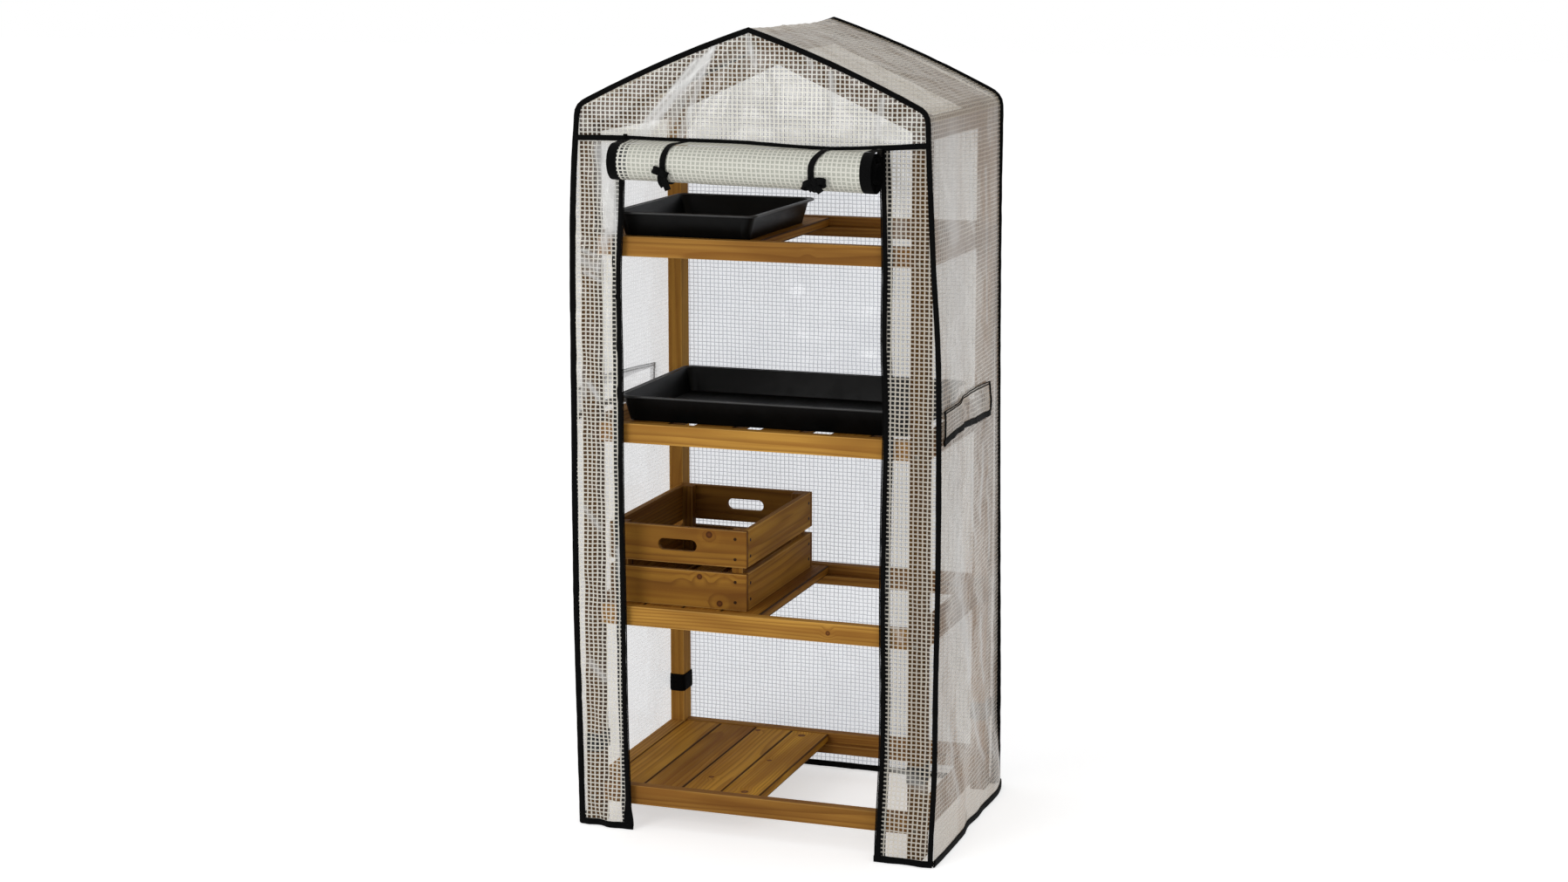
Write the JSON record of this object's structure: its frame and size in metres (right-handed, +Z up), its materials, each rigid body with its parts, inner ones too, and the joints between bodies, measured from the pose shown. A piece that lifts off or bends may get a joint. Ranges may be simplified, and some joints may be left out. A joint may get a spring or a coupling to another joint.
{
  "type": "wooden mini greenhouse",
  "caption": "Narrow four-shelf timber plant house under a gabled reinforced sheet cover with a roll-up front, side vents, loose slats, trays and a crate",
  "frame": {"origin": "on the floor, under the middle of the whole object with its rolled-up door", "axes": "X to the right seen from the door, Y towards the back panel, Z up"},
  "size_m": [0.7026, 0.6032, 1.5656],
  "materials": {
    "stained_wood": "honey-stained pine with visible grain and small knots",
    "crate_wood": "stained pine boards, slightly darker than the frame",
    "cover_sheet": "clear film laminated over a white grid of threads, glossy",
    "black_tape": "woven polyester binding tape, matte black",
    "black_strap": "hook-and-loop strap, matte black",
    "black_metal": "black painted zip slider",
    "tray_plastic": "moulded black plastic, satin with fine scuffs",
    "steel_screw": "yellow-passivated screw heads, dull"
  },
  "bodies": {
    "frame": {"back_binding": "black_tape", "back_panel": "cover_sheet", "back_rafters": "stained_wood", "back_rail_1": "stained_wood", "back_rail_2": "stained_wood", "back_rail_3": "stained_wood", "back_rail_4": "stained_wood", "eave_rails": "stained_wood", "frame_screws": "steel_screw", "front_binding": "black_tape", "front_gable": "cover_sheet", "front_rafters": "stained_wood", "front_rail_1": "stained_wood", "front_rail_2": "stained_wood", "front_rail_3": "stained_wood", "front_rail_4": "stained_wood", "front_strips": "cover_sheet", "post_back_left": "stained_wood", "post_back_right": "stained_wood", "post_front_left": "stained_wood", "post_front_right": "stained_wood", "post_straps": "black_strap", "ridge_rail": "stained_wood", "roof_and_sides": "cover_sheet", "shelf_cleats": "stained_wood", "side_hems": "black_tape", "side_rails_1": "stained_wood", "side_rails_2": "stained_wood", "side_rails_3": "stained_wood", "side_rails_4": "stained_wood", "zip_tapes": "black_tape"},
    "door_roll": {"door_roll": "cover_sheet", "door_ties": "black_tape"},
    "vent_flap_left": {"vent_flap_left": "cover_sheet"},
    "vent_flap_right": {"vent_flap_right": "cover_sheet"},
    "zip_slider_left": {"zip_slider_left": "black_metal"},
    "zip_slider_right": {"zip_slider_right": "black_metal"},
    "tray_small": {"tray_small": "tray_plastic"},
    "tray_large": {"tray_large": "tray_plastic"},
    "crate": {"crate_corner_posts": "crate_wood", "crate_end_boards": "crate_wood", "crate_floor_slats": "crate_wood", "crate_screws": "steel_screw", "crate_side_boards": "crate_wood"},
    "slat_1_1": {"slat_1_1": "stained_wood"},
    "slat_1_2": {"slat_1_2": "stained_wood"},
    "slat_1_3": {"slat_1_3": "stained_wood"},
    "slat_1_4": {"slat_1_4": "stained_wood"},
    "slat_2_1": {"slat_2_1": "stained_wood"},
    "slat_2_2": {"slat_2_2": "stained_wood"},
    "slat_2_3": {"slat_2_3": "stained_wood"},
    "slat_2_4": {"slat_2_4": "stained_wood"},
    "slat_3_1": {"slat_3_1": "stained_wood"},
    "slat_3_2": {"slat_3_2": "stained_wood"},
    "slat_3_3": {"slat_3_3": "stained_wood"},
    "slat_3_4": {"slat_3_4": "stained_wood"},
    "slat_4_1": {"slat_4_1": "stained_wood"},
    "slat_4_2": {"slat_4_2": "stained_wood"},
    "slat_4_3": {"slat_4_3": "stained_wood"},
    "slat_4_4": {"slat_4_4": "stained_wood"}
  },
  "joints": [
    {"name": "slat_1_1_slide", "type": "slide", "parent": "frame", "child": "slat_1_1", "axis": [1, 0, 0], "range_m": [0, 0.0617]},
    {"name": "slat_1_2_slide", "type": "slide", "parent": "frame", "child": "slat_1_2", "axis": [1, 0, 0], "range_m": [0, 0.1234]},
    {"name": "slat_1_3_slide", "type": "slide", "parent": "frame", "child": "slat_1_3", "axis": [1, 0, 0], "range_m": [0, 0.1851]},
    {"name": "slat_1_4_slide", "type": "slide", "parent": "frame", "child": "slat_1_4", "axis": [1, 0, 0], "range_m": [0, 0.2468]},
    {"name": "slat_2_1_slide", "type": "slide", "parent": "frame", "child": "slat_2_1", "axis": [1, 0, 0], "range_m": [0, 0.0617]},
    {"name": "slat_2_2_slide", "type": "slide", "parent": "frame", "child": "slat_2_2", "axis": [1, 0, 0], "range_m": [0, 0.1234]},
    {"name": "slat_2_3_slide", "type": "slide", "parent": "frame", "child": "slat_2_3", "axis": [1, 0, 0], "range_m": [0, 0.1851]},
    {"name": "slat_2_4_slide", "type": "slide", "parent": "frame", "child": "slat_2_4", "axis": [1, 0, 0], "range_m": [0, 0.2468]},
    {"name": "slat_3_1_slide", "type": "slide", "parent": "frame", "child": "slat_3_1", "axis": [1, 0, 0], "range_m": [-0.0526, 0]},
    {"name": "slat_3_2_slide", "type": "slide", "parent": "frame", "child": "slat_3_2", "axis": [1, 0, 0], "range_m": [-0.1029, 0]},
    {"name": "slat_3_3_slide", "type": "slide", "parent": "frame", "child": "slat_3_3", "axis": [1, 0, 0], "range_m": [-0.1582, 0]},
    {"name": "slat_3_4_slide", "type": "slide", "parent": "frame", "child": "slat_3_4", "axis": [1, 0, 0], "range_m": [-0.2195, 0]},
    {"name": "slat_4_1_slide", "type": "slide", "parent": "frame", "child": "slat_4_1", "axis": [1, 0, 0], "range_m": [0, 0.0617]},
    {"name": "slat_4_2_slide", "type": "slide", "parent": "frame", "child": "slat_4_2", "axis": [1, 0, 0], "range_m": [0, 0.1234]},
    {"name": "slat_4_3_slide", "type": "slide", "parent": "frame", "child": "slat_4_3", "axis": [1, 0, 0], "range_m": [0, 0.1851]},
    {"name": "slat_4_4_slide", "type": "slide", "parent": "frame", "child": "slat_4_4", "axis": [1, 0, 0], "range_m": [0, 0.2468]},
    {"name": "door_roll_swing", "type": "hinge", "parent": "frame", "child": "door_roll", "pos_m": [0, -0.21245, 1.3525], "axis": [-1, 0, 0], "range_deg": [0, 75]},
    {"name": "vent_flap_left_hinge", "type": "hinge", "parent": "frame", "child": "vent_flap_left", "pos_m": [-0.3497, 0.04505, 0.8625], "axis": [0, 1, 0], "range_deg": [0, 110]},
    {"name": "vent_flap_right_hinge", "type": "hinge", "parent": "frame", "child": "vent_flap_right", "pos_m": [0.3497, 0.04505, 0.8625], "axis": [0, -1, 0], "range_deg": [0, 110]},
    {"name": "zip_left_travel", "type": "slide", "parent": "frame", "child": "zip_slider_left", "axis": [0, 0, -1], "range_m": [0, 1.25]},
    {"name": "zip_right_travel", "type": "slide", "parent": "frame", "child": "zip_slider_right", "axis": [0, 0, -1], "range_m": [0, 1.25]},
    {"name": "tray_small_lift", "type": "slide", "parent": "frame", "child": "tray_small", "axis": [0, 0, 1], "range_m": [0, 0.12]},
    {"name": "tray_large_lift", "type": "slide", "parent": "frame", "child": "tray_large", "axis": [0, 0, 1], "range_m": [0, 0.2]},
    {"name": "crate_lift", "type": "slide", "parent": "frame", "child": "crate", "axis": [0, 0, 1], "range_m": [0, 0.15]}
  ],
  "couplings": [
    {"joint": "slat_1_1_slide", "follows": "slat_1_4_slide", "ratio": 0.25},
    {"joint": "slat_1_2_slide", "follows": "slat_1_4_slide", "ratio": 0.5},
    {"joint": "slat_1_3_slide", "follows": "slat_1_4_slide", "ratio": 0.75},
    {"joint": "slat_2_1_slide", "follows": "slat_2_4_slide", "ratio": 0.25},
    {"joint": "slat_2_2_slide", "follows": "slat_2_4_slide", "ratio": 0.5},
    {"joint": "slat_2_3_slide", "follows": "slat_2_4_slide", "ratio": 0.75},
    {"joint": "slat_3_1_slide", "follows": "slat_3_4_slide", "ratio": 0.23964},
    {"joint": "slat_3_2_slide", "follows": "slat_3_4_slide", "ratio": 0.46879},
    {"joint": "slat_3_3_slide", "follows": "slat_3_4_slide", "ratio": 0.72073},
    {"joint": "slat_4_1_slide", "follows": "slat_4_4_slide", "ratio": 0.25},
    {"joint": "slat_4_2_slide", "follows": "slat_4_4_slide", "ratio": 0.5},
    {"joint": "slat_4_3_slide", "follows": "slat_4_4_slide", "ratio": 0.75}
  ]
}
